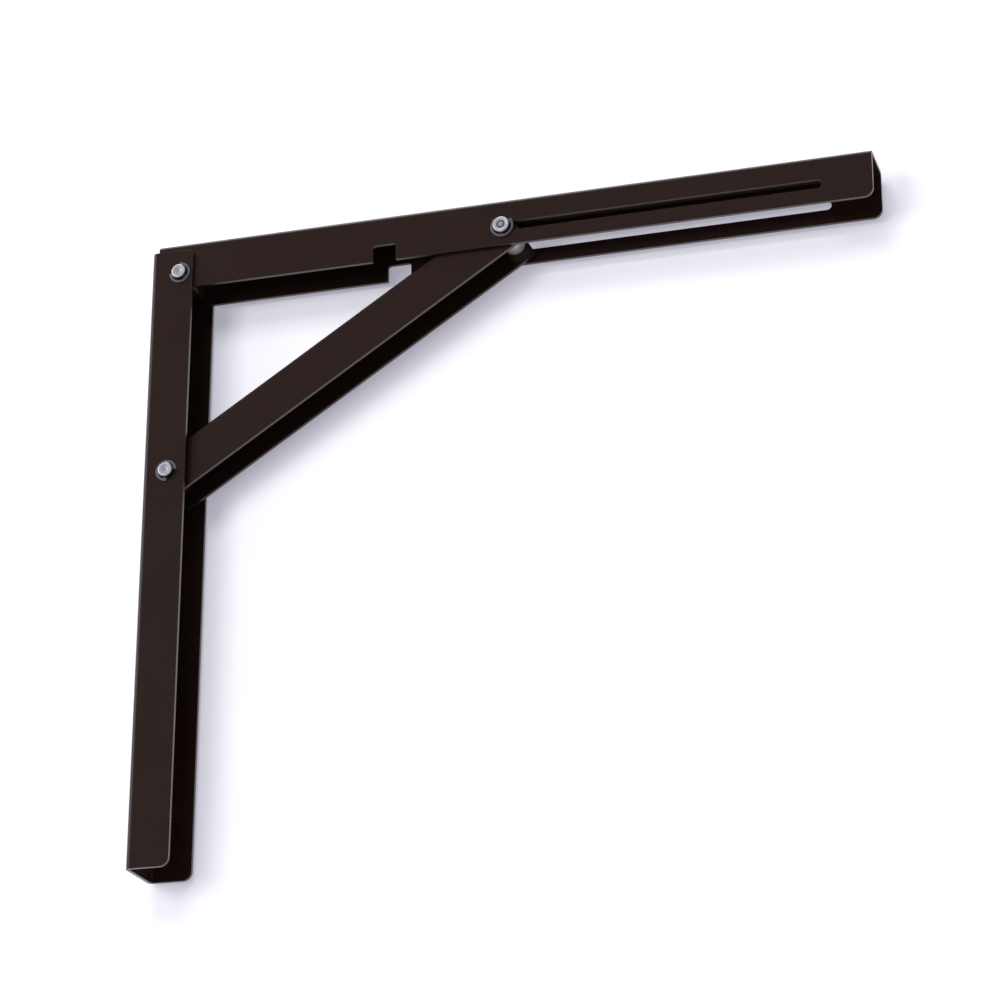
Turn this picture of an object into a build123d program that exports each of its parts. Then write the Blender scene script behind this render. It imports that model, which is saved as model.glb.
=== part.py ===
from build123d import *
import os
from math import atan2, cos, sin, sqrt

# Folding shelf bracket, millimetres. The wall is the plane x = 0, the shelf lies on top,
# +X runs along the open arm and +Y across the bracket's width. The origin is the middle
# of the row of wall screws. The bracket is modelled folded out, ready for a shelf.

# Sheet metal
SHEET = 2.0  # thickness of all three channels
BEND_INSIDE = 1.0  # inside radius of the folds
SIDE_PLAY = 0.5  # gap on each side between one channel and the next

# Wall rail
RAIL_LENGTH = 350.0
RAIL_WIDTH = 33.0
RAIL_DEPTH = 24.3
RAIL_TOP_CORNER = 4.0
RAIL_FOOT_CORNER = 5.0

# Shelf arm
ARM_LENGTH = 400.0
ARM_DEPTH = 27.0
ARM_TIP_CORNER = 5.0
ARM_FROM_RAIL_WEB = 1.1

# Strut
STRUT_DEPTH = 24.8
STRUT_FOOT_RADIUS = 10.5
STRUT_HEAD_PAST_BOLT = 6.5  # the ears at the slot are cut square, clear of the arm's web
STRUT_HEAD_CORNER = 2.0
STRUT_HOLE_FROM_WEB = 12.9
STRUT_WEB_SETBACK = 12.0  # web ends this far from each hole, the flanges run on as ears

# Pivots
HINGE_FROM_WALL = 17.2
HINGE_FROM_RAIL_TOP = 13.9
HINGE_FROM_ARM_TOP = 19.2
PIVOT_FROM_WALL = 14.2
PIVOT_BELOW_HINGE = 117.3
SLIDE_FROM_HINGE = 185.0
SLOT_FROM_ARM_TOP = 16.2
SLOT_END_FROM_TIP = 29.5  # to the centre of the slot's rounded end

# Notch in the arm's flanges that takes the strut pivot's bushes when folded
NOTCH_WIDTH = 13.3
NOTCH_DEPTH = 9.6
NOTCH_CORNER = 1.6
NOTCH_PAST_PIVOT = 0.8

# Screw holes
WALL_SCREW_DIA = 6.5
WALL_SCREW_MARGIN = 45.0  # from the rail's ends
SHELF_SCREW_DIA = 5.5
SHELF_SCREW_FROM_HINGE = 70.0
SHELF_SCREW_FROM_TIP = 25.9
SCREW_COUNT = 3

# Pins, bolt and washers
PIN_DIA = 5.0
RUNNING_CLEARANCE = 0.08
HOLE_CLEARANCE = 0.15
SLOT_CLEARANCE = 0.1
FACE_CLEARANCE = 0.3
WASHER_DIA = 12.0
SLIDE_WASHER_DIA = 12.8
WASHER_THICK = 1.0
HEAD_DIA = 8.0
HEAD_HEIGHT = 2.4
HEAD_RIM = 0.7
DIMPLE_DIA = 2.6
DIMPLE_DEPTH = 0.35
TAIL_DIA = 7.4
TAIL_HEIGHT = 1.9
SPACER_DIA = 8.0
SLIDE_SPACER_DIA = 12.0
BUSH_DIA = 9.0
HEX_ACROSS_FLATS = 8.0
HEX_HEAD_HEIGHT = 3.5
NUT_HEX_HEIGHT = 3.2
NUT_HEIGHT = 4.6
NUT_COLLAR_DIA = 7.4
NUT_COLLAR_WALL = 0.6
NUT_COLLAR_LIP = 0.4
BOLT_PROUD = 0.5
THREAD_GAP = 0.05

# Derived places and widths
ARM_WIDTH = RAIL_WIDTH - 2 * (SHEET + SIDE_PLAY)
STRUT_WIDTH = ARM_WIDTH - 2 * (SHEET + SIDE_PLAY)
BEND_OUTSIDE = BEND_INSIDE + SHEET
PIN_RADIUS = PIN_DIA / 2
SLOT_HEIGHT = PIN_DIA + 2 * SLOT_CLEARANCE
RAIL_TOP = RAIL_LENGTH / 2
HINGE = Vector(HINGE_FROM_WALL, 0, RAIL_TOP - HINGE_FROM_RAIL_TOP)
PIVOT = Vector(PIVOT_FROM_WALL, 0, HINGE.Z - PIVOT_BELOW_HINGE)
SLIDE = HINGE + Vector(SLIDE_FROM_HINGE, 0, HINGE_FROM_ARM_TOP - SLOT_FROM_ARM_TOP)
ARM_START = HINGE_FROM_WALL - SHEET - ARM_FROM_RAIL_WEB  # arm's end behind the hinge
ARM_REACH = ARM_LENGTH - ARM_START  # arm's tip ahead of the hinge
SLOT_TRAVEL = ARM_REACH - SLOT_END_FROM_TIP - SLIDE_FROM_HINGE
STRUT_SPAN = (SLIDE - PIVOT).length
STRUT_TILT = atan2(SLIDE.Z - PIVOT.Z, SLIDE.X - PIVOT.X)

# Member frames: local x along the member, local z out of its web
RAIL_FRAME = Plane(origin=(0, 0, RAIL_TOP), x_dir=(0, 0, -1), z_dir=(-1, 0, 0))
ARM_FRAME = Plane(origin=HINGE, x_dir=(1, 0, 0), z_dir=(0, 0, 1))
STRUT_FRAME = Plane(
    origin=PIVOT,
    x_dir=(cos(STRUT_TILT), 0, sin(STRUT_TILT)),
    z_dir=(-sin(STRUT_TILT), 0, cos(STRUT_TILT)),
)


def block(x_low, x_high, z_low, z_high):
    """Rectangle in a member's side view, given by its limits."""
    centre = Pos((x_low + x_high) / 2, (z_low + z_high) / 2)
    return centre * Rectangle(x_high - x_low, z_high - z_low)


def through(side_view, width):
    """Side view carried right across a member of this width."""
    return extrude(Plane.XZ * side_view, amount=width, both=True)


def channel(start, end, web, width, depth):
    """Folded U-channel along local x, its web's outer face at local z = web."""
    outer = Pos(0, web - depth / 2) * Rectangle(width, depth)
    outer = fillet(outer.vertices().group_by(Axis.Y)[-1], BEND_OUTSIDE)
    hollow_width = width - 2 * SHEET
    hollow = Pos(0, web - SHEET - depth / 2) * Rectangle(hollow_width, depth)
    hollow = fillet(hollow.vertices().group_by(Axis.Y)[-1], BEND_INSIDE)
    section = Plane.YZ.offset(start) * (outer - hollow)
    return extrude(section, amount=end - start)


def cross_hole(x, z, diameter, width):
    """Round hole through both flanges."""
    return through(Pos(x, z) * Circle(diameter / 2), width)


def web_holes(first, last, diameter, web):
    """Evenly spaced screw holes through a web."""
    pitch = (last - first) / (SCREW_COUNT - 1)
    drill = Pos(first, 0, web - SHEET / 2) * Cylinder(diameter / 2, 4 * SHEET)
    return [Pos(i * pitch, 0) * drill for i in range(SCREW_COUNT)]


def wall_rail():
    """Channel screwed to the wall, mouth outwards."""
    rail = channel(0, RAIL_LENGTH, 0, RAIL_WIDTH, RAIL_DEPTH)
    side = block(0, RAIL_LENGTH, -RAIL_DEPTH, 0)
    free_edge = side.vertices().group_by(Axis.Y)[0].sort_by(Axis.X)
    side = fillet(free_edge[0], RAIL_TOP_CORNER)
    foot = side.vertices().sort_by_distance((RAIL_LENGTH, -RAIL_DEPTH))[0]
    side = fillet(foot, RAIL_FOOT_CORNER)
    rail = rail & through(side, RAIL_WIDTH)
    hole = PIN_DIA + 2 * HOLE_CLEARANCE
    hinge_x = HINGE_FROM_RAIL_TOP
    rail -= cross_hole(hinge_x, -HINGE_FROM_WALL, hole, RAIL_WIDTH)
    rail -= cross_hole(hinge_x + PIVOT_BELOW_HINGE, -PIVOT_FROM_WALL, hole, RAIL_WIDTH)
    last_screw = RAIL_LENGTH - WALL_SCREW_MARGIN
    rail -= web_holes(WALL_SCREW_MARGIN, last_screw, WALL_SCREW_DIA, 0)
    return RAIL_FRAME * rail


def arm_side_view():
    """Outline of the arm's flanges with its rounded ends and the folding notch."""
    top = HINGE_FROM_ARM_TOP
    low = top - ARM_DEPTH
    side = block(-ARM_START, ARM_REACH, low, top)
    side = fillet(side.vertices().sort_by_distance((ARM_REACH, low))[0], ARM_TIP_CORNER)
    heel = block(-ARM_START, 0, low, 0) - Circle(ARM_START)
    notch_x = PIVOT_BELOW_HINGE + NOTCH_PAST_PIVOT
    notch = Pos(notch_x, low) * RectangleRounded(NOTCH_WIDTH, 2 * NOTCH_DEPTH, NOTCH_CORNER)
    return side - heel - notch


def shelf_arm():
    """Channel under the shelf, mouth down, slotted for the strut's slide bolt."""
    top = HINGE_FROM_ARM_TOP
    arm = channel(-ARM_START, ARM_REACH, top, ARM_WIDTH, ARM_DEPTH)
    arm = arm & through(arm_side_view(), ARM_WIDTH)
    arm -= cross_hole(0, 0, PIN_DIA + 2 * RUNNING_CLEARANCE, ARM_WIDTH)
    slot = SlotCenterToCenter(SLOT_TRAVEL, SLOT_HEIGHT)
    slot_x = SLIDE_FROM_HINGE + SLOT_TRAVEL / 2
    arm -= through(Pos(slot_x, top - SLOT_FROM_ARM_TOP) * slot, ARM_WIDTH)
    last_screw = ARM_REACH - SHELF_SCREW_FROM_TIP
    arm -= web_holes(SHELF_SCREW_FROM_HINGE, last_screw, SHELF_SCREW_DIA, top)
    return ARM_FRAME * arm


def strut():
    """Diagonal channel with an eared end at the rail and another at the slot."""
    start = -STRUT_FOOT_RADIUS
    end = STRUT_SPAN + STRUT_HEAD_PAST_BOLT
    web = STRUT_HOLE_FROM_WEB
    brace = channel(start, end, web, STRUT_WIDTH, STRUT_DEPTH)
    side = block(start, end, web - STRUT_DEPTH, web)
    side = fillet(side.vertices().group_by(Axis.X)[0], STRUT_FOOT_RADIUS)
    side -= block(start, STRUT_WEB_SETBACK, web - BEND_OUTSIDE, web)
    side -= block(STRUT_SPAN - STRUT_WEB_SETBACK, end, web - BEND_OUTSIDE, web)
    side = fillet(side.vertices().group_by(Axis.X)[-1], STRUT_HEAD_CORNER)
    brace = brace & through(side, STRUT_WIDTH)
    hole = PIN_DIA + 2 * RUNNING_CLEARANCE
    for x in (0, STRUT_SPAN):
        brace -= cross_hole(x, 0, hole, STRUT_WIDTH)
    return STRUT_FRAME * brace


def outward(centre, distance, side):
    """Frame on a pin's axis, this far from mid-width, its z pointing out of that side."""
    return Plane(origin=centre + Vector(0, side * distance, 0), x_dir=(1, 0, 0), z_dir=(0, side, 0))


def turned(points_and_arcs):
    """Solid of revolution about z from a closed line in its radial plane."""
    return revolve(Plane.XZ * make_face(points_and_arcs), Axis.Z)


def low_head():
    """Low round pin head with a rounded rim and a small centre dimple."""
    radius = HEAD_DIA / 2
    rim_start = (radius, HEAD_HEIGHT - HEAD_RIM)
    rim_end = (radius - HEAD_RIM, HEAD_HEIGHT)
    return turned([
        Polyline((0, 0), (radius, 0), rim_start),
        RadiusArc(rim_start, rim_end, -HEAD_RIM),
        Polyline(rim_end, (DIMPLE_DIA / 2, HEAD_HEIGHT), (0, HEAD_HEIGHT - DIMPLE_DEPTH), (0, 0)),
    ])


def riveted_tail():
    """Pin's end spread over its washer."""
    radius = TAIL_DIA / 2
    rim_start = (radius, TAIL_HEIGHT / 3)
    rim_end = (radius / 2, TAIL_HEIGHT)
    return turned([
        Polyline((0, 0), (radius, 0), rim_start),
        ThreePointArc(rim_start, (radius * 0.86, TAIL_HEIGHT * 0.8), rim_end),
        Polyline(rim_end, (0, TAIL_HEIGHT), (0, 0)),
    ])


def rod(centre, low, high):
    """Plain round shank across the bracket between two y values."""
    return Plane(origin=centre + Vector(0, low, 0), z_dir=(0, 1, 0)) * extrude(
        Circle(PIN_RADIUS), amount=high - low
    )


def pin(centre, grip):
    """Headed pin, head to -Y, riveted over at +Y, for outer washers this far apart."""
    reach = grip / 2 + WASHER_THICK
    shank = rod(centre, -reach, reach)
    head = outward(centre, reach, -1) * low_head()
    tail = outward(centre, reach, 1) * riveted_tail()
    return shank + head + tail


def ring(outer_dia, bore, length):
    """Plain ring standing on z = 0."""
    return extrude(Circle(outer_dia / 2) - Circle(bore / 2), amount=length)


def washer(centre, distance, side, diameter):
    """Flat washer whose inner face is this far from mid-width."""
    plate = ring(diameter, PIN_DIA + 2 * HOLE_CLEARANCE, WASHER_THICK)
    return outward(centre, distance, side) * plate


def spacer(centre, width, diameter):
    """Tube that keeps two flanges this far apart."""
    tube = ring(diameter, PIN_DIA + 2 * RUNNING_CLEARANCE, width)
    return outward(centre, -width / 2, 1) * tube


def bush(side):
    """Bush between the rail's flange and the strut's ear."""
    inner_face = STRUT_WIDTH / 2 + FACE_CLEARANCE
    length = RAIL_WIDTH / 2 - SHEET - inner_face
    sleeve = ring(BUSH_DIA, PIN_DIA + 2 * HOLE_CLEARANCE, length)
    return outward(PIVOT, inner_face, side) * sleeve


def hexagon(height, bevel_both):
    """Hexagon prism with its corners turned to a cone at the outer or both ends."""
    corner = HEX_ACROSS_FLATS / sqrt(3)
    prism = extrude(RegularPolygon(corner, 6, rotation=30), amount=height)
    turning = extrude(Circle(corner), amount=height)
    bevel = (corner - HEX_ACROSS_FLATS / 2) * 1.2
    edges = turning.edges().filter_by(GeomType.CIRCLE).sort_by(Axis.Z)
    chosen = edges if bevel_both else edges[-1:]
    return prism & chamfer(chosen, bevel * 0.55, bevel)


def lock_nut():
    """Hexagon nut with a rolled collar that holds the locking ring."""
    radius = NUT_COLLAR_DIA / 2
    neck = ring(NUT_COLLAR_DIA, PIN_DIA, NUT_HEIGHT)
    neck = fillet(neck.edges().filter_by(GeomType.CIRCLE).group_by(Axis.Z)[-1].sort_by(
        SortBy.RADIUS)[-1], NUT_COLLAR_LIP)
    pocket_radius = radius - NUT_COLLAR_WALL
    seat = NUT_HEX_HEIGHT
    lip = NUT_HEIGHT - NUT_COLLAR_LIP
    pocket = Pos(0, 0, seat) * extrude(Circle(pocket_radius), amount=lip - seat)
    mouth = Pos(0, 0, lip) * extrude(Circle(pocket_radius - NUT_COLLAR_LIP), amount=NUT_HEIGHT)
    bore = extrude(Circle(PIN_RADIUS + THREAD_GAP), amount=NUT_HEIGHT)
    return hexagon(NUT_HEX_HEIGHT, True) + neck - pocket - mouth - bore


def nut_insert():
    """Nylon locking ring inside the nut's collar."""
    outer = NUT_COLLAR_DIA - 2 * NUT_COLLAR_WALL
    length = NUT_HEIGHT - NUT_COLLAR_LIP - NUT_HEX_HEIGHT
    return Pos(0, 0, NUT_HEX_HEIGHT) * ring(outer, PIN_DIA + 2 * THREAD_GAP, length)


def slide_hardware():
    """Bolt, lock nut and washers that run along the arm's slot."""
    washer_face = ARM_WIDTH / 2 + FACE_CLEARANCE
    seat = washer_face + WASHER_THICK
    ear_gap = STRUT_WIDTH / 2 + FACE_CLEARANCE
    front = outward(SLIDE, seat, -1)
    head = outward(SLIDE, seat, 1) * hexagon(HEX_HEAD_HEIGHT, False)
    return {
        "slide_washer_front": washer(SLIDE, washer_face, -1, SLIDE_WASHER_DIA),
        "slide_washer_rear": washer(SLIDE, washer_face, 1, SLIDE_WASHER_DIA),
        "slide_nut": front * lock_nut(),
        "slide_nut_insert": front * nut_insert(),
        "slide_bolt_end": rod(SLIDE, -seat - NUT_HEIGHT - BOLT_PROUD, -ear_gap),
        "slide_bolt_head": head + rod(SLIDE, ear_gap, seat),
    }


def pivot_hardware():
    """Pins, washers, bushes and spacer tubes at the corner hinge and the strut's foot."""
    outer_face = RAIL_WIDTH / 2
    return {
        "hinge_pin": pin(HINGE, RAIL_WIDTH),
        "hinge_washer_front": washer(HINGE, outer_face, -1, WASHER_DIA),
        "hinge_washer_rear": washer(HINGE, outer_face, 1, WASHER_DIA),
        "hinge_spacer": spacer(HINGE, ARM_WIDTH - 2 * SHEET, SPACER_DIA),
        "strut_pin": pin(PIVOT, RAIL_WIDTH),
        "strut_pin_washer_front": washer(PIVOT, outer_face, -1, WASHER_DIA),
        "strut_pin_washer_rear": washer(PIVOT, outer_face, 1, WASHER_DIA),
        "strut_pin_bush_front": bush(-1),
        "strut_pin_bush_rear": bush(1),
        "strut_pin_spacer": spacer(PIVOT, STRUT_WIDTH - 2 * SHEET, SPACER_DIA),
        "slide_bolt_shank": rod(SLIDE, -STRUT_WIDTH / 2, STRUT_WIDTH / 2),
        "slide_spacer": spacer(SLIDE, STRUT_WIDTH - 2 * SHEET, SLIDE_SPACER_DIA),
    }


def main():
    """Build every piece and write one file for each."""
    pieces = {"wall_rail": wall_rail(), "shelf_arm": shelf_arm(), "strut": strut()}
    pieces.update(pivot_hardware())
    pieces.update(slide_hardware())
    os.makedirs("parts", exist_ok=True)
    for name, solid in pieces.items():
        export_step(solid, f"parts/{name}.step")


main()
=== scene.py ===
"""Dresses the folding shelf bracket: coated channels, zinc hardware, studio and camera."""

import logging
import math
from dataclasses import dataclass, field
from enum import Enum
from typing import Any, Iterable, Optional, Sequence, Union

import bmesh
import bpy
from mathutils import Matrix, Vector


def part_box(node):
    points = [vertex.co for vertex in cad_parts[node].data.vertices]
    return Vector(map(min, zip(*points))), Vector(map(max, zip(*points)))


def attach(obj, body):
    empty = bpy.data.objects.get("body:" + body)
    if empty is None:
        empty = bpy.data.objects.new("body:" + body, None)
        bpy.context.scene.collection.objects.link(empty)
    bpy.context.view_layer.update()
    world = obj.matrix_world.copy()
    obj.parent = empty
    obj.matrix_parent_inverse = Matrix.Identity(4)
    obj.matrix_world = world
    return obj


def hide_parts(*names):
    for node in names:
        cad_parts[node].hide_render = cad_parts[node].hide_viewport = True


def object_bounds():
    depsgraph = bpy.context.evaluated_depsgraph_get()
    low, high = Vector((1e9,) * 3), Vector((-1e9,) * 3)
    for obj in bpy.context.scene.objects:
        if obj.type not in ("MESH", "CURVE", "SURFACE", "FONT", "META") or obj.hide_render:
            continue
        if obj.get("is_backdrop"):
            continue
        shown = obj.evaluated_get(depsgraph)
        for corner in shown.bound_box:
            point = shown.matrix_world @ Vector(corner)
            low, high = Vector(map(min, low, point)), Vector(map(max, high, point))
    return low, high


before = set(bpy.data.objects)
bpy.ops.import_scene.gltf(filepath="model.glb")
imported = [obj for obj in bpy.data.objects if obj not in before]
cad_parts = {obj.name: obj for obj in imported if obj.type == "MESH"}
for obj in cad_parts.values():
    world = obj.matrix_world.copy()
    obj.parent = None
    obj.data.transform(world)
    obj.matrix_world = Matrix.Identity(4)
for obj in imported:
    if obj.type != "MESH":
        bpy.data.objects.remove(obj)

LOG = logging.getLogger("shelf_bracket")
MM = 0.001
Colour = tuple[float, float, float, float]
Operand = Union["Signal", float]

WHITE: Colour = (1.0, 1.0, 1.0, 1.0)
ALONG_Y = (0.0, 1.0, 0.0)  # the direction of every pin
NO_DRIFT = (0.0, 0.0, 0.0)
EDGE_MARK = "rounded_edge"  # face attribute, 1 on rounded edges and 0 elsewhere
WELD = 0.002 * MM  # points closer than this are one point
FLAT_WITHIN = 0.6  # degrees between triangles of one flat area
SHADED_SHARP = 38.0  # degrees from which an edge is shaded as a crease
ON_WALL = 0.05 * MM  # how near to a ring's wall a face or an edge counts as on it
QUARTER_ROUND = ((0.62, 0.08), (0.29, 0.29), (0.08, 0.62))  # inwards and down, shares of a rim
SIDE_SHADE_REACH = 1.1  # a pin's painted shade on its side runs on to this many times its radius
WAVE_RINGS = 20.0 / math.tau  # rings that the wave texture draws in one unit of its space


class Side(Enum):
    """The two long sides of the bracket."""

    FRONT = "front"
    REAR = "rear"


class Grain(Enum):
    """How a zinc piece was worked before plating."""

    TURNED = "turned"
    TUMBLED = "tumbled"


class Signal:
    """A shader socket on which Python arithmetic adds Math nodes."""

    def __init__(self, bench: "Bench", socket: bpy.types.NodeSocket) -> None:
        """Wraps a socket.

        Args:
            bench: The node tree that the socket belongs to.
            socket: The output socket.
        """
        self.bench = bench
        self.socket = socket

    def math(self, operation: str, *operands: Operand) -> "Signal":
        """Adds one Math node.

        Args:
            operation: The Math node's operation.
            operands: Its inputs in order, signals or plain numbers.

        Returns:
            The node's result.
        """
        inputs = dict(enumerate(operands))
        return self.bench.node("ShaderNodeMath", {"operation": operation}, inputs)

    def __add__(self, other: Operand) -> "Signal":
        """Sum."""
        return self.math("ADD", self, other)

    def __radd__(self, other: float) -> "Signal":
        """Sum with a number on the left."""
        return self.math("ADD", other, self)

    def __sub__(self, other: Operand) -> "Signal":
        """Difference."""
        return self.math("SUBTRACT", self, other)

    def __rsub__(self, other: float) -> "Signal":
        """Difference with a number on the left."""
        return self.math("SUBTRACT", other, self)

    def __mul__(self, other: Operand) -> "Signal":
        """Product."""
        return self.math("MULTIPLY", self, other)

    def __rmul__(self, other: float) -> "Signal":
        """Product with a number on the left."""
        return self.math("MULTIPLY", other, self)

    def at_most(self, other: Operand) -> "Signal":
        """Smaller of the two."""
        return self.math("MINIMUM", self, other)

    def at_least(self, other: Operand) -> "Signal":
        """Larger of the two."""
        return self.math("MAXIMUM", self, other)


class Bench:
    """Node tree of one material or world, and the one place where its nodes are made."""

    def __init__(self, owner: Union[bpy.types.Material, bpy.types.World]) -> None:
        """Empties the owner's node tree.

        Args:
            owner: The material or world to be wired.
        """
        owner.use_nodes = True
        self.tree = owner.node_tree
        self.tree.nodes.clear()

    def node(
        self,
        kind: str,
        settings: Optional[dict[str, Any]] = None,
        inputs: Optional[dict[Union[str, int], Any]] = None,
        output: Union[str, int] = 0,
    ) -> Optional[Signal]:
        """Adds a node.

        Args:
            kind: The node's type.
            settings: Its properties, and a ramp's "stops" as (place, colour) pairs.
            inputs: Values or signals by socket name or number.
            output: The socket to be returned.

        Returns:
            One output of the new node, or nothing where the node has none.
        """
        made = self.tree.nodes.new(kind)
        for key, value in (settings or {}).items():
            if key == "stops":
                self._set_stops(made.color_ramp, value)
            else:
                setattr(made, key, value)
        for key, value in (inputs or {}).items():
            if isinstance(value, Signal):
                self.tree.links.new(value.socket, made.inputs[key])
            else:
                made.inputs[key].default_value = value
        return Signal(self, made.outputs[output]) if made.outputs else None

    @staticmethod
    def _set_stops(ramp: bpy.types.ColorRamp, stops: Sequence[tuple[float, Colour]]) -> None:
        """Replaces a ramp's stops.

        Args:
            ramp: The ramp.
            stops: Pairs of place and colour.
        """
        while len(ramp.elements) > 1:
            ramp.elements.remove(ramp.elements[-1])
        ramp.elements[0].position, ramp.elements[0].color = stops[0]
        for place, colour in stops[1:]:
            ramp.elements.new(place).color = colour

    def place(self, centre: Sequence[float] = (0.0, 0.0, 0.0)) -> Signal:
        """Object coordinates measured from a centre.

        Args:
            centre: The centre in metres.

        Returns:
            The shifted coordinates.
        """
        raw = self.node("ShaderNodeTexCoord", output="Object")
        shift = tuple(-value for value in centre)
        return self.node("ShaderNodeMapping", {}, {"Vector": raw, "Location": shift})

    def ray(self, kind: str) -> Signal:
        """One for rays of a kind, such as Camera or Shadow, and nought for others."""
        return self.node("ShaderNodeLightPath", output=f"Is {kind} Ray")

    def noise(self, where: Signal, size: float, detail: float) -> Signal:
        """Noise with blobs of about one size.

        Args:
            where: The coordinates.
            size: Blob size in metres.
            detail: Octaves.

        Returns:
            A value about one half.
        """
        wanted = {"Vector": where, "Scale": 1.0 / size, "Detail": detail}
        return self.node("ShaderNodeTexNoise", {}, wanted, "Fac")

    def blend(self, factor: Operand, first: Any, second: Any) -> Signal:
        """Mix of two colours.

        Args:
            factor: Share of the second.
            first: Colour or signal.
            second: Colour or signal.

        Returns:
            The mixed colour.
        """
        wanted = {0: factor, 6: first, 7: second}
        return self.node("ShaderNodeMix", {"data_type": "RGBA"}, wanted, 2)

    def bump(self, height: Signal, depth: float) -> Signal:
        """Normal of a fine relief.

        Args:
            height: The relief, from 0 to 1.
            depth: Its depth in metres.

        Returns:
            The bent normal.
        """
        wanted = {"Height": height, "Distance": depth, "Strength": 1.0}
        return self.node("ShaderNodeBump", {}, wanted)

    def surface(self, shader: Signal) -> None:
        """Sends a shader to the material's output.

        Args:
            shader: The finished shader.
        """
        self.node("ShaderNodeOutputMaterial", {}, {"Surface": shader})


@dataclass(frozen=True)
class PowderCoat:
    """Baked powder coat, nearly black with a brown cast and an orange peel, with a painted
    highlight on its rounded edges.

    Sizes and depths are in metres. Shares run from 0 to 1.
    """

    name: str = "black_coat"
    thin: Colour = (0.0200, 0.0092, 0.0068, 1.0)
    thick: Colour = (0.0160, 0.0068, 0.0046, 1.0)
    roughness: float = 0.27
    gloss: float = 0.5
    patch_size: float = 0.030
    patch_roughness: float = 0.10
    peel_size: float = 0.0016
    peel_depth: float = 0.000012
    grit_size: float = 0.00035
    grit_in_colour: float = 0.3
    grit_in_relief: float = 0.25
    grit_roughness: float = 0.08
    # edge is a pale grey painted on the rounded edges as a highlight, stronger or weaker in patches
    edge: Colour = (0.105, 0.095, 0.100, 1.0)
    edge_highlight_share: float = 0.75
    edge_highlight_unevenness: float = 0.9

    def material(self) -> bpy.types.Material:
        """Wires the coat.

        Returns:
            The material.
        """
        made = bpy.data.materials.new(self.name)
        bench = Bench(made)
        where = bench.place()
        patches = bench.noise(where, self.patch_size, 4.0)
        peel = bench.noise(where, self.peel_size, 2.0)
        grit = bench.noise(where, self.grit_size, 1.0)
        mottle = patches * (1.0 - self.grit_in_colour) + grit * self.grit_in_colour
        colour = bench.blend(mottle, self.thick, self.thin)
        # painted highlight: the rounded edges are blended towards a pale grey, by an amount that
        # varies in patches
        edges = bench.node("ShaderNodeAttribute", {"attribute_name": EDGE_MARK}, output="Fac")
        edge_highlight_amount = self.edge_highlight_share + (patches - 0.5) * self.edge_highlight_unevenness
        colour = bench.blend(edges * edge_highlight_amount.at_least(0.0).at_most(1.0), colour, self.edge)
        rough = self.roughness + (patches - 0.5) * self.patch_roughness
        rough = rough + (grit - 0.5) * self.grit_roughness
        relief = peel * (1.0 - self.grit_in_relief) + grit * self.grit_in_relief
        bench.surface(bench.node("ShaderNodeBsdfPrincipled", {}, {
            "Base Color": colour,
            "Roughness": rough,
            "Specular IOR Level": self.gloss,
            "Normal": bench.bump(relief, self.peel_depth),
        }))
        return made


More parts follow.
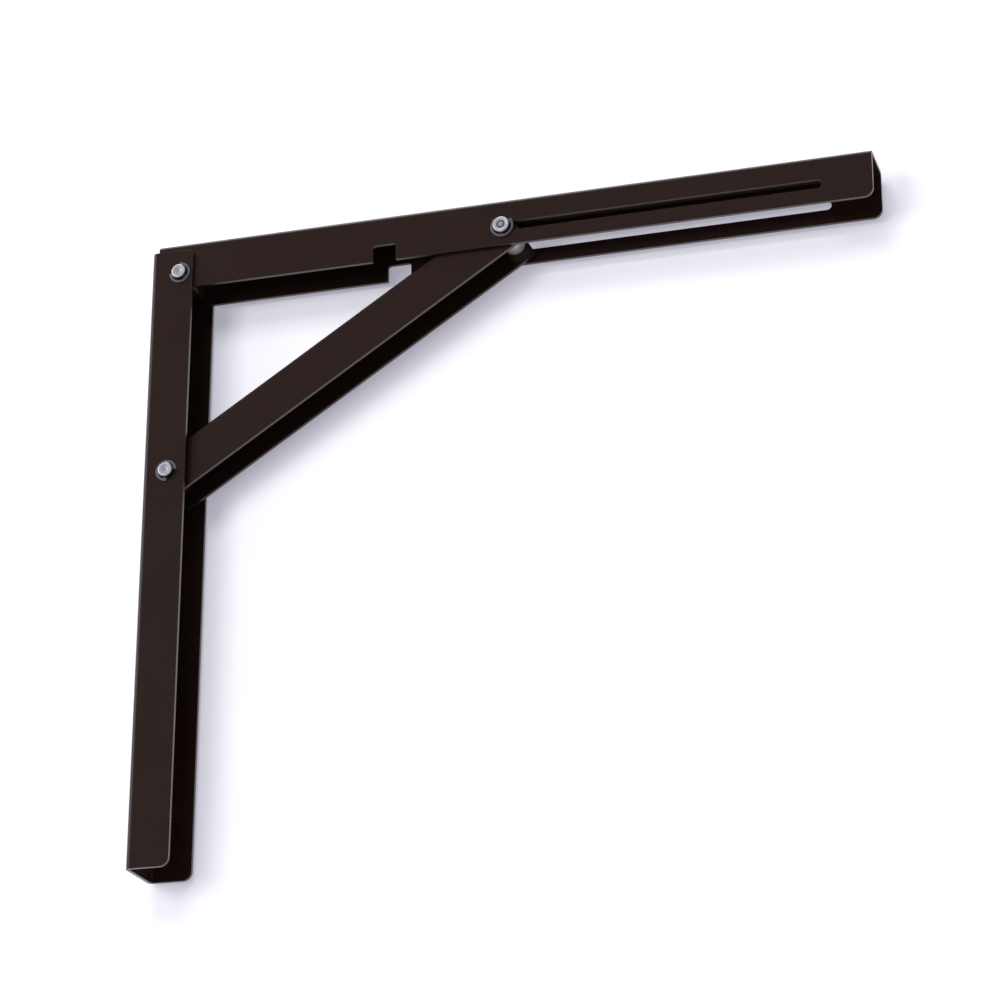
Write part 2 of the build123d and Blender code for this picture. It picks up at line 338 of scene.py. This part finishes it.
@dataclass(frozen=True)
class ZincPlate:
    """Zinc plate on steel, with turning rings about a pin's axis or a tumbled surface.

    Sizes are in metres. The painted highlights and shade are pairs of a distance from the axis and
    a brightness.
    """

    name: str
    centre: tuple[float, float, float]
    grain: Grain = Grain.TUMBLED
    bright: Colour = (0.86, 0.86, 0.91, 1.0)
    dull: Colour = (0.64, 0.64, 0.69, 1.0)
    metal: float = 0.60
    roughness: float = 0.40
    roughness_spread: float = 0.22
    # rings of painted highlight and painted shade about the axis, as pairs of a distance and a
    # brightness
    painted_light_rings: tuple[tuple[float, float], ...] = ()
    ring_pitch: float = 0.0013823
    ring_wobble: float = 0.6
    ring_in_relief: float = 0.5
    cloud_size: float = 0.0022
    speck_size: float = 0.00044
    speck_in_colour: float = 0.4
    speck_in_relief: float = 0.5
    relief: float = 0.000008

    def material(self) -> bpy.types.Material:
        """Wires the plate.

        Returns:
            The material.
        """
        made = bpy.data.materials.new(self.name)
        bench = Bench(made)
        where = bench.place(self.centre)
        clouds = bench.noise(where, self.cloud_size, 3.0)
        specks = bench.noise(where, self.speck_size, 2.0)
        relief = clouds * (1.0 - self.speck_in_relief) + specks * self.speck_in_relief
        if self.grain is Grain.TURNED:
            rings = self._rings(bench, where)
            relief = relief * (1.0 - self.ring_in_relief) + rings * self.ring_in_relief
        mottle = clouds * (1.0 - self.speck_in_colour) + specks * self.speck_in_colour
        colour = bench.blend(mottle, self.dull, self.bright)
        # paints highlights and shade in rings about the axis
        if self.painted_light_rings:
            painted_level = self._paint_light_rings(bench, where)
            times = {"operation": "MULTIPLY"}
            colour = bench.node("ShaderNodeVectorMath", times, {0: colour, 1: painted_level})
        rough = self.roughness + (specks - 0.5) * self.roughness_spread
        bench.surface(bench.node("ShaderNodeBsdfPrincipled", {}, {
            "Base Color": colour,
            "Metallic": self.metal,
            "Roughness": rough,
            "Normal": bench.bump(relief, self.relief),
        }))
        return made

    def _rings(self, bench: Bench, where: Signal) -> Signal:
        """Turning marks about the axis.

        Args:
            bench: The material's bench.
            where: Coordinates from the axis.

        Returns:
            The marks, from 0 to 1.
        """
        settings = {"wave_type": "RINGS", "rings_direction": "Y"}
        wanted = {
            "Vector": where,
            "Scale": 1.0 / (self.ring_pitch * WAVE_RINGS),
            "Distortion": self.ring_wobble,
            "Detail": 1.0,
        }
        return bench.node("ShaderNodeTexWave", settings, wanted, "Fac")

    def _paint_light_rings(self, bench: Bench, where: Signal) -> Signal:
        """Painted highlights and painted shade, by distance from the axis.

        Args:
            bench: The material's bench.
            where: Coordinates from the axis.

        Returns:
            The brightness, as a grey.
        """
        times, length = {"operation": "MULTIPLY"}, {"operation": "LENGTH"}
        flat = bench.node("ShaderNodeVectorMath", times, {0: where, 1: (1.0, 0.0, 1.0)})
        radius = bench.node("ShaderNodeVectorMath", length, {0: flat}, "Value")
        reach = self.painted_light_rings[-1][0]
        stops = [(place / reach, (value, value, value, 1.0)) for place, value in self.painted_light_rings]
        return bench.node("ShaderNodeValToRGB", {"stops": stops}, {0: radius * (1.0 / reach)})


def centre_of(node: str) -> Vector:
    """Middle of a CAD node's box.

    Args:
        node: The node's name.

    Returns:
        The middle, in metres.
    """
    low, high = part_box(node)
    return (low + high) / 2


def merged_copy(node: str) -> bmesh.types.BMesh:
    """Joined-up copy of a CAD node's triangles, with flat areas made whole.

    Args:
        node: The node's name.

    Returns:
        The copy.
    """
    copy = bmesh.new()
    copy.from_mesh(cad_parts[node].data)
    bmesh.ops.remove_doubles(copy, verts=copy.verts, dist=WELD)
    bmesh.ops.dissolve_limit(
        copy, angle_limit=math.radians(FLAT_WITHIN), verts=copy.verts, edges=copy.edges
    )
    return copy


def soften(
    shape: bmesh.types.BMesh, radius: float, steps: int = 2, sharper_than: float = 40.0
) -> None:
    """Rounds every sharp edge, and marks the roundings for the coat.

    Args:
        shape: The mesh to be changed.
        radius: Rounding in metres.
        steps: Segments across the rounding.
        sharper_than: Least angle between faces, in degrees.
    """
    limit = math.radians(sharper_than)
    sharp = [e for e in shape.edges if len(e.link_faces) == 2 and e.calc_face_angle(0.0) > limit]
    mark = shape.faces.layers.float.new(EDGE_MARK)
    rounded = bmesh.ops.bevel(
        shape, geom=sharp, offset=radius, offset_type="OFFSET", segments=steps, profile=0.5,
        affect="EDGES", clamp_overlap=True, material=-1,
    )
    for face in rounded["faces"]:
        face[mark] = 1.0


def turn_profile(
    profile: Iterable[tuple[float, float]], centre: Vector, steps: int
) -> bmesh.types.BMesh:
    """Spins a half-section about an axis along Y.

    Args:
        profile: Pairs of radius and Y, in metres, from the axis round to the axis, or from a
            point round to itself.
        centre: A point on the axis.
        steps: Facets round the axis.

    Returns:
        The turned shape.
    """
    shape = bmesh.new()
    line = [shape.verts.new((centre.x + r, y, centre.z)) for r, y in profile]
    edges = [shape.edges.new(pair) for pair in zip(line, line[1:])]
    bmesh.ops.spin(
        shape, geom=line + edges, cent=centre, axis=ALONG_Y, dvec=NO_DRIFT,
        angle=math.tau, steps=steps, use_merge=True,
    )
    bmesh.ops.remove_doubles(shape, verts=shape.verts, dist=WELD)
    bmesh.ops.recalc_face_normals(shape, faces=shape.faces)
    return shape


def finish_piece(
    shape: bmesh.types.BMesh, name: str, body: str, replaced: Sequence[str],
    material: bpy.types.Material,
) -> None:
    """Makes an object of a mesh and hands it to the frame.

    Args:
        shape: The finished mesh, which is used up.
        name: The piece's name.
        body: The CAD body it rides on.
        replaced: The CAD nodes it stands for.
        material: Its finish.
    """
    mesh = bpy.data.meshes.new(name)
    for face in shape.faces:
        face.smooth = True
    shape.to_mesh(mesh)
    shape.free()
    mesh.set_sharp_from_angle(angle=math.radians(SHADED_SHARP))
    mesh.materials.append(material)
    piece = bpy.data.objects.new(name, mesh)
    bpy.context.scene.collection.objects.link(piece)
    even = piece.modifiers.new("even_shading", "WEIGHTED_NORMAL")
    even.keep_sharp = True
    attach(piece, body)
    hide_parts(*replaced)
    LOG.info("%s rides on %s", name, body)


@dataclass
class Channels:
    """The three folded channels and their coated spacer tubes, with no burr on their edges."""

    edge_round: float = 0.5 * MM
    edge_steps: int = 3
    coat: PowderCoat = field(default_factory=PowderCoat)

    def build(self) -> None:
        """Makes the rail, the arm, the strut and the tubes."""
        material = self.coat.material()
        dress_tube("hinge_spacer", "arm", material)
        dress_tube("strut_pin_spacer", "strut", material)
        for node, body in (("wall_rail", "rail"), ("shelf_arm", "arm"), ("strut", "strut")):
            shape = merged_copy(node)
            soften(shape, self.edge_round, self.edge_steps)
            finish_piece(shape, f"{node}_coated", body, (node,), material)


@dataclass
class OpenRing:
    """Retaining ring with three inner prongs, pushed sideways into a pin's groove.

    Angles are in degrees. Those of the opening turn from +X towards +Z.
    """

    node: str
    body: str
    opening_towards: float
    opening: float = 90.0
    band: float = 1.35 * MM
    prong_radius: float = 3.05 * MM
    back_prong: float = 30.0
    end_prong: float = 25.0
    step: float = 5.0
    tip_round: float = 0.45 * MM
    tip_steps: int = 3
    edge: float = 0.14 * MM
    bright: Colour = (0.36, 0.36, 0.40, 1.0)
    dull: Colour = (0.22, 0.22, 0.25, 1.0)

    def build(self) -> None:
        """Makes the ring and its prongs."""
        low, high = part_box(self.node)
        centre = (low + high) / 2
        outer = (high.x - low.x) / 2
        inner = outer - self.band
        shape = self._build_band(centre, (low.y, high.y), inner, outer)
        self._round_tips(shape, centre, outer)
        self._draw_prongs(shape, centre, inner)
        soften(shape, self.edge)
        finish = ZincPlate(
            f"{self.node}_zinc", tuple(centre), bright=self.bright, dull=self.dull,
            metal=0.8, roughness=0.34,
        )
        finish_piece(
            shape, f"{self.node}_stamped", self.body, (self.node,), finish.material()
        )

    def _build_band(
        self, centre: Vector, depths: tuple[float, float], inner: float, outer: float
    ) -> bmesh.types.BMesh:
        """Spins the band from one side of the opening to the other.

        Args:
            centre: A point on the axis.
            depths: Y of the front and the rear face.
            inner: Inner radius.
            outer: Outer radius.

        Returns:
            The band.
        """
        shape = bmesh.new()
        front, rear = depths
        corners = ((inner, front), (outer, front), (outer, rear), (inner, rear))
        loop = [shape.verts.new((centre.x + r, y, centre.z)) for r, y in corners]
        start = math.radians(self.opening_towards - self.opening / 2)
        bmesh.ops.rotate(shape, verts=loop, cent=centre, matrix=Matrix.Rotation(-start, 3, "Y"))
        face = shape.faces.new(loop)
        covered = 360.0 - self.opening
        bmesh.ops.spin(
            shape, geom=[face] + list(face.edges) + loop, cent=centre, axis=ALONG_Y,
            dvec=NO_DRIFT, angle=math.radians(covered), steps=round(covered / self.step),
            use_duplicate=False,
        )
        bmesh.ops.recalc_face_normals(shape, faces=shape.faces)
        return shape

    def _past_opening(self, point: Vector, centre: Vector) -> float:
        """Angle of a point from the middle of the opening, from 0 to 180 degrees."""
        angle = math.degrees(math.atan2(point.z - centre.z, point.x - centre.x))
        return abs((angle - self.opening_towards + 180.0) % 360.0 - 180.0)

    def _draw_prongs(self, shape: bmesh.types.BMesh, centre: Vector, inner: float) -> None:
        """Pulls three stretches of the inner wall towards the groove.

        Args:
            shape: The band.
            centre: A point on the axis.
            inner: Its inner radius.
        """
        chosen = []
        for face in shape.faces:
            middle = face.calc_center_median()
            radius = math.hypot(middle.x - centre.x, middle.z - centre.z)
            past = self._past_opening(middle, centre)
            at_end = past < self.opening / 2 + self.end_prong
            at_back = past > 180.0 - self.back_prong / 2
            if abs(radius - inner) < ON_WALL and (at_end or at_back):
                chosen.append(face)
        grown = bmesh.ops.extrude_face_region(shape, geom=chosen)
        moved = [item for item in grown["geom"] if isinstance(item, bmesh.types.BMVert)]
        bmesh.ops.delete(shape, geom=chosen, context="FACES_ONLY")
        share = self.prong_radius / inner
        bmesh.ops.scale(
            shape, verts=moved, vec=(share, 1.0, share), space=Matrix.Translation(-centre)
        )

    def _round_tips(self, shape: bmesh.types.BMesh, centre: Vector, outer: float) -> None:
        """Rounds the outer corners beside the opening.

        Args:
            shape: The band.
            centre: A point on the axis.
            outer: Its outer radius.
        """
        corners = []
        for edge in shape.edges:
            first, second = (vert.co for vert in edge.verts)
            along = abs(first.y - second.y) > (first - second).length / 2
            radius = math.hypot(first.x - centre.x, first.z - centre.z)
            at_tip = self._past_opening(first, centre) < self.opening / 2 + self.step / 2
            if along and radius > outer - ON_WALL and at_tip:
                corners.append(edge)
        bmesh.ops.bevel(
            shape, geom=corners, offset=self.tip_round, offset_type="OFFSET",
            segments=self.tip_steps, profile=0.5, affect="EDGES", clamp_overlap=True, material=-1,
        )


@dataclass
class FlatWasher:
    """Flat washer with softened edges."""

    node: str
    body: str
    bore: float = 2.65 * MM
    edge: float = 0.18 * MM
    facets: int = 64
    bright: Colour = (0.50, 0.50, 0.54, 1.0)
    dull: Colour = (0.34, 0.34, 0.37, 1.0)

    def build(self) -> None:
        """Turns the washer from its box."""
        low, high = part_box(self.node)
        centre = (low + high) / 2
        bore, radius = self.bore, (high.x - low.x) / 2
        section = ((bore, low.y), (radius, low.y), (radius, high.y), (bore, high.y), (bore, low.y))
        shape = turn_profile(section, centre, self.facets)
        soften(shape, self.edge)
        finish = ZincPlate(
            f"{self.node}_zinc", tuple(centre), Grain.TURNED, self.bright, self.dull, metal=0.8
        )
        finish_piece(
            shape, f"{self.node}_stamped", self.body, (self.node,), finish.material()
        )


@dataclass
class PinEnd:
    """Turned end of a pin in front of its ring: rounded rim, shallow face and round cup.

    The face's share, the cup and the ends of the painted highlights and shade are shares of the
    shallow face's radius.
    The cup's four are where its inner and its outer wall begin and end.
    """

    radius: float = 4.0 * MM
    height: float = 2.4 * MM
    rim: float = 0.75 * MM
    rim_top: float = 0.35 * MM
    face_depth: float = 0.14 * MM
    face_share: float = 0.94
    mark_depth: float = 0.042 * MM
    cup_depth: float = 0.30 * MM
    groove_radius: float = 3.0 * MM
    cup: tuple[float, float, float, float] = (0.14, 0.22, 0.46, 0.54)
    # brightness painted across the face: painted highlights at the middle and on the rim, painted
    # shade in the cup
    face_painted_light: tuple[float, ...] = (0.95, 0.90, 0.56, 0.60, 0.80, 0.72, 1.0)
    painted_light_end: tuple[float, float] = (0.90, 0.98)
    # painted shade on the side wall of the pin, beyond the rim
    side_painted_shade: float = 0.06
    side_shade_fade: tuple[float, float] = (0.10 * MM, 0.02 * MM)

    @property
    def inside(self) -> float:
        """Radius of the shallow face."""
        return self.radius - self.rim - self.rim_top

    def profile(self, front: float, groove_end: float) -> list[tuple[float, float]]:
        """Half-section from the axis out over the rim and back to the groove.

        Args:
            front: Y of the rim.
            groove_end: Y where the groove ends.

        Returns:
            Pairs of radius and Y.
        """
        inside, rim, edge = self.inside, self.rim, self.radius
        face = [
            (0.0, front + self.mark_depth),
            (inside * self.cup[0], front + self.mark_depth),
            (inside * self.cup[1], front + self.cup_depth),
            (inside * self.cup[2], front + self.cup_depth),
            (inside * self.cup[3], front + self.face_depth),
            (inside * self.face_share, front + self.face_depth),
            (inside, front),
            (edge - rim, front),
        ]
        rounding = [(edge - rim * inwards, front + rim * down) for inwards, down in QUARTER_ROUND]
        return face + rounding + [
            (edge, front + rim),
            (edge, front + self.height),
            (self.groove_radius, front + self.height),
            (self.groove_radius, groove_end),
        ]

    def finish(self, name: str, centre: Vector) -> ZincPlate:
        """Plate with a painted highlight on the rim, a duller face, painted shade in the cup and a
        painted dark side.

        Args:
            name: The material's name.
            centre: A point on the axis.

        Returns:
            The finish.
        """
        places = (0.0, *self.cup, *self.painted_light_end)
        face = tuple((self.inside * place, painted_level) for place, painted_level in zip(places, self.face_painted_light))
        begins, ends = (self.radius - inwards for inwards in self.side_shade_fade)
        side = ((begins, 1.0), (ends, self.side_painted_shade), (self.radius * SIDE_SHADE_REACH, self.side_painted_shade))
        return ZincPlate(name, tuple(centre), Grain.TURNED, roughness=0.36, painted_light_rings=face + side)


@dataclass
class RivetedPin:
    """Grooved pin with an open ring in front, and a washer under its riveted end.

    The tail's dome is given by pairs of shares, of its radius and of its height.
    """

    pin: str
    washers: str
    opening_towards: float
    front_end: PinEnd = field(default_factory=PinEnd)
    shank_radius: float = 2.5 * MM
    tail_radius: float = 3.7 * MM
    tail_height: float = 1.9 * MM
    tail_dome: tuple[tuple[float, float], ...] = (
        (1.0, 0.0), (1.0, 0.33), (0.88, 0.72), (0.62, 1.0),
    )
    facets: int = 64

    def build(self) -> None:
        """Makes the pin, its ring and its washer."""
        self._build_pin()
        OpenRing(f"{self.washers}_front", "rail", self.opening_towards).build()
        FlatWasher(f"{self.washers}_rear", "rail").build()

    def _build_pin(self) -> None:
        """Turns the front end, the shank and the tail in one piece."""
        low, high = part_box(self.pin)
        centre = (low + high) / 2
        groove_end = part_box(f"{self.washers}_front")[1].y
        under_tail = high.y - self.tail_height
        shank = [(self.shank_radius, groove_end), (self.shank_radius, under_tail)]
        tail = [
            (self.tail_radius * out, under_tail + self.tail_height * along)
            for out, along in self.tail_dome
        ]
        profile = self.front_end.profile(low.y, groove_end) + shank + tail + [(0.0, high.y)]
        shape = turn_profile(profile, centre, self.facets)
        finish = self.front_end.finish(f"{self.pin}_zinc", centre)
        finish_piece(shape, f"{self.pin}_turned", "rail", (self.pin,), finish.material())


def dress_tube(
    node: str, body: str, material: bpy.types.Material, edge: float = 0.2 * MM
) -> None:
    """Takes the burr off a spacer tube or a bush.

    Args:
        node: The CAD node.
        body: The body it rides on.
        material: Its finish.
        edge: Rounding of its ends in metres.
    """
    shape = merged_copy(node)
    soften(shape, edge)
    finish_piece(shape, f"{node}_cut", body, (node,), material)


@dataclass
class SlidePin:
    """Pin that runs in the arm's slot, with its open ring, washer, head and spacer tube."""

    # a deeper, wider cup: painted shade in the cup, painted highlight on the rim
    front_end: PinEnd = field(default_factory=lambda: PinEnd(
        radius=4.5 * MM, cup_depth=0.45 * MM, cup=(0.42, 0.48, 0.64, 0.72),
        face_painted_light=(0.70, 0.66, 0.16, 0.16, 0.92, 0.95, 1.0),
    ))
    opening_towards: float = 86.0
    shank_radius: float = 2.5 * MM
    hex_edge: float = 0.12 * MM
    hex_sharper_than: float = 24.0
    facets: int = 64

    def build(self) -> None:
        """Makes every piece at the slot."""
        self._build_front()
        OpenRing("slide_washer_front", "slider", self.opening_towards).build()
        FlatWasher("slide_washer_rear", "slider").build()
        self._build_head()
        tube = ZincPlate("slide_spacer_zinc", tuple(centre_of("slide_spacer")))
        dress_tube("slide_spacer", "strut", tube.material())
        self._dress_shank()

    def _build_front(self) -> None:
        """Turns the front end and the stretch that passes through the slot."""
        ring_low, ring_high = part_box("slide_washer_front")
        inner_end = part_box("slide_bolt_end")[1].y
        centre = (ring_low + ring_high) / 2
        front = ring_low.y - self.front_end.height
        profile = self.front_end.profile(front, ring_high.y) + [
            (self.shank_radius, ring_high.y),
            (self.shank_radius, inner_end),
            (0.0, inner_end),
        ]
        shape = turn_profile(profile, centre, self.facets)
        finish = self.front_end.finish("slide_pin_zinc", centre)
        stands_for = ("slide_bolt_end", "slide_nut", "slide_nut_insert")
        finish_piece(shape, "slide_pin_turned", "slider", stands_for, finish.material())

    def _build_head(self) -> None:
        """Softens the hexagon head at the rear."""
        shape = merged_copy("slide_bolt_head")
        soften(shape, self.hex_edge, sharper_than=self.hex_sharper_than)
        centre = tuple(centre_of("slide_bolt_head"))
        finish = ZincPlate("slide_bolt_head_zinc", centre, metal=0.5, roughness=0.30)
        replaced = ("slide_bolt_head",)
        finish_piece(
            shape, "slide_bolt_head_forged", "slider", replaced, finish.material()
        )

    def _dress_shank(self) -> None:
        """Gives the plain part of the pin its plate."""
        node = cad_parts["slide_bolt_shank"]
        finish = ZincPlate("slide_bolt_shank_zinc", tuple(centre_of("slide_bolt_shank")))
        node.data.materials.clear()
        node.data.materials.append(finish.material())


@dataclass(frozen=True)
class Lamp:
    """One square soft lamp, at a distance from its target in the direction given."""

    name: str
    towards: tuple[float, float, float]
    size: float
    power: float
    mirrored: bool = True
    target: tuple[float, float, float] = (0.18, 0.0, 0.05)
    distance: float = 1.9

    def build(self) -> None:
        """Hangs the lamp and aims it at the bracket."""
        light = bpy.data.lights.new(self.name, "AREA")
        light.shape = "SQUARE"
        light.size = self.size
        light.energy = self.power
        holder = bpy.data.objects.new(self.name, light)
        away = Vector(self.towards).normalized()
        holder.location = Vector(self.target) + away * self.distance
        holder.rotation_euler = away.to_track_quat("Z", "Y").to_euler()
        holder.visible_glossy = self.mirrored
        bpy.context.scene.collection.objects.link(holder)


@dataclass
class Studio:
    """Pale sheet close behind the bracket, soft lamps and a pale surround."""

    sheet_gap: float = 0.3 * MM
    sheet_half: float = 3.0
    sheet_colour: Colour = (0.86, 0.86, 0.86, 1.0)
    sheet_glow: Colour = (0.24, 0.24, 0.30, 1.0)
    fill: Colour = (0.48, 0.47, 0.49, 1.0)
    mirrored_front: Colour = (0.16, 0.155, 0.165, 1.0)
    mirrored_fade: tuple[float, float] = (-0.15, 0.35)
    lamps: tuple[Lamp, ...] = (
        Lamp("left_lamp", (-0.42, -1.0, 0.0), 0.65, 10.5, False),
        Lamp("upper_lamp", (-0.04, -1.0, 0.52), 0.65, 10.5, False),
        Lamp("side_lamp", (-0.95, -0.50, 0.30), 1.2, 7.0),
        Lamp("rear_lamp", (0.4, 1.0, 0.35), 1.4, 20.0),
        Lamp("top_lamp", (-0.25, -0.10, 1.0), 1.0, 9.0),
    )

    def build(self) -> None:
        """Makes the sheet, the surround and the lamps."""
        self._build_sheet()
        self._build_surround()
        for lamp in self.lamps:
            lamp.build()

    def _build_sheet(self) -> None:
        """Makes the sheet, clear from behind and to shadow rays."""
        shape = bmesh.new()
        turn = Matrix.Rotation(math.pi / 2, 4, "X")
        bmesh.ops.create_grid(shape, x_segments=1, y_segments=1, size=self.sheet_half, matrix=turn)
        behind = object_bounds()[1][1] + self.sheet_gap
        bmesh.ops.translate(shape, verts=shape.verts, vec=(0.0, behind, 0.0))
        mesh = bpy.data.meshes.new("sheet")
        shape.to_mesh(mesh)
        shape.free()
        sheet = bpy.data.objects.new("sheet", mesh)
        bpy.context.scene.collection.objects.link(sheet)
        mesh.materials.append(self._sheet_material())
        sheet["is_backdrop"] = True

    def _sheet_material(self) -> bpy.types.Material:
        """Wires the sheet's paper.

        Returns:
            The material.
        """
        made = bpy.data.materials.new("sheet_paper")
        bench = Bench(made)
        seen = bench.ray("Camera").at_least(bench.ray("Glossy")).at_least(bench.ray("Transmission"))
        paper = bench.node("ShaderNodeBsdfDiffuse", {}, {"Color": self.sheet_colour})
        glow = bench.node("ShaderNodeEmission", {}, {"Color": self.sheet_glow, "Strength": seen})
        lit = bench.node("ShaderNodeAddShader", {}, {0: paper, 1: glow})
        turned_away = bench.node("ShaderNodeNewGeometry", output="Backfacing")
        away = turned_away.at_least(bench.ray("Shadow"))
        clear = bench.node("ShaderNodeBsdfTransparent")
        bench.surface(bench.node("ShaderNodeMixShader", {}, {0: away, 1: lit, 2: clear}))
        return made

    def _build_surround(self) -> None:
        """Wires the world: white where it is seen, dim where it only lights."""
        world = bpy.data.worlds.new("studio_surround")
        bpy.context.scene.world = world
        bench = Bench(world)
        direct = bench.ray("Camera").at_least(bench.ray("Transmission"))
        aim = bench.node("ShaderNodeTexCoord", output="Generated")
        along = bench.node("ShaderNodeSeparateXYZ", {}, {0: aim}, "Y")
        begins, ends = self.mirrored_fade
        behind = bench.node("ShaderNodeMapRange", {}, {0: along, 1: begins, 2: ends})
        mirrored = bench.blend(behind, self.mirrored_front, WHITE)
        lighting = bench.blend(bench.ray("Glossy"), self.fill, mirrored)
        colour = bench.blend(direct, lighting, WHITE)
        shader = bench.node("ShaderNodeBackground", {}, {"Color": colour, "Strength": 1.0})
        bench.node("ShaderNodeOutputWorld", {}, {"Surface": shader})


@dataclass(frozen=True)
class Viewpoint:
    """Long lens below and to the right of the bracket."""

    place: tuple[float, float, float] = (0.64834, -1.46311, -0.58554)
    turn_degrees: tuple[float, float, float] = (111.334, -0.087, 17.116)
    lens: float = 113.118
    sensor: float = 36.0
    sees_as_far_as: float = 20.0

    def build(self) -> None:
        """Makes the camera and hands it to the scene."""
        camera = bpy.data.cameras.new("main_camera")
        camera.lens = self.lens
        camera.sensor_width = self.sensor
        camera.clip_end = self.sees_as_far_as
        holder = bpy.data.objects.new("main_camera", camera)
        holder.location = self.place
        holder.rotation_euler = [math.radians(angle) for angle in self.turn_degrees]
        bpy.context.scene.collection.objects.link(holder)
        bpy.context.scene.camera = holder
        bpy.context.scene.view_settings.view_transform = "Standard"


def build_bushes(edge: float = 0.15 * MM) -> None:
    """Plates the two bushes between the rail and the strut, and takes off their burr.

    Args:
        edge: Rounding of their ends in metres.
    """
    for side in Side:
        node = f"strut_pin_bush_{side.value}"
        bush = ZincPlate(f"{node}_zinc", tuple(centre_of(node)))
        dress_tube(node, "rail", bush.material(), edge)


def main() -> None:
    """Builds the scene."""
    logging.basicConfig(level=logging.INFO, format="%(name)s: %(message)s")
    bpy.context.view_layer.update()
    Studio().build()
    Viewpoint().build()
    Channels().build()
    RivetedPin("hinge_pin", "hinge_washer", opening_towards=138.0).build()
    RivetedPin("strut_pin", "strut_pin_washer", opening_towards=-40.0).build()
    build_bushes()
    SlidePin().build()


if __name__ == "__main__":
    main()
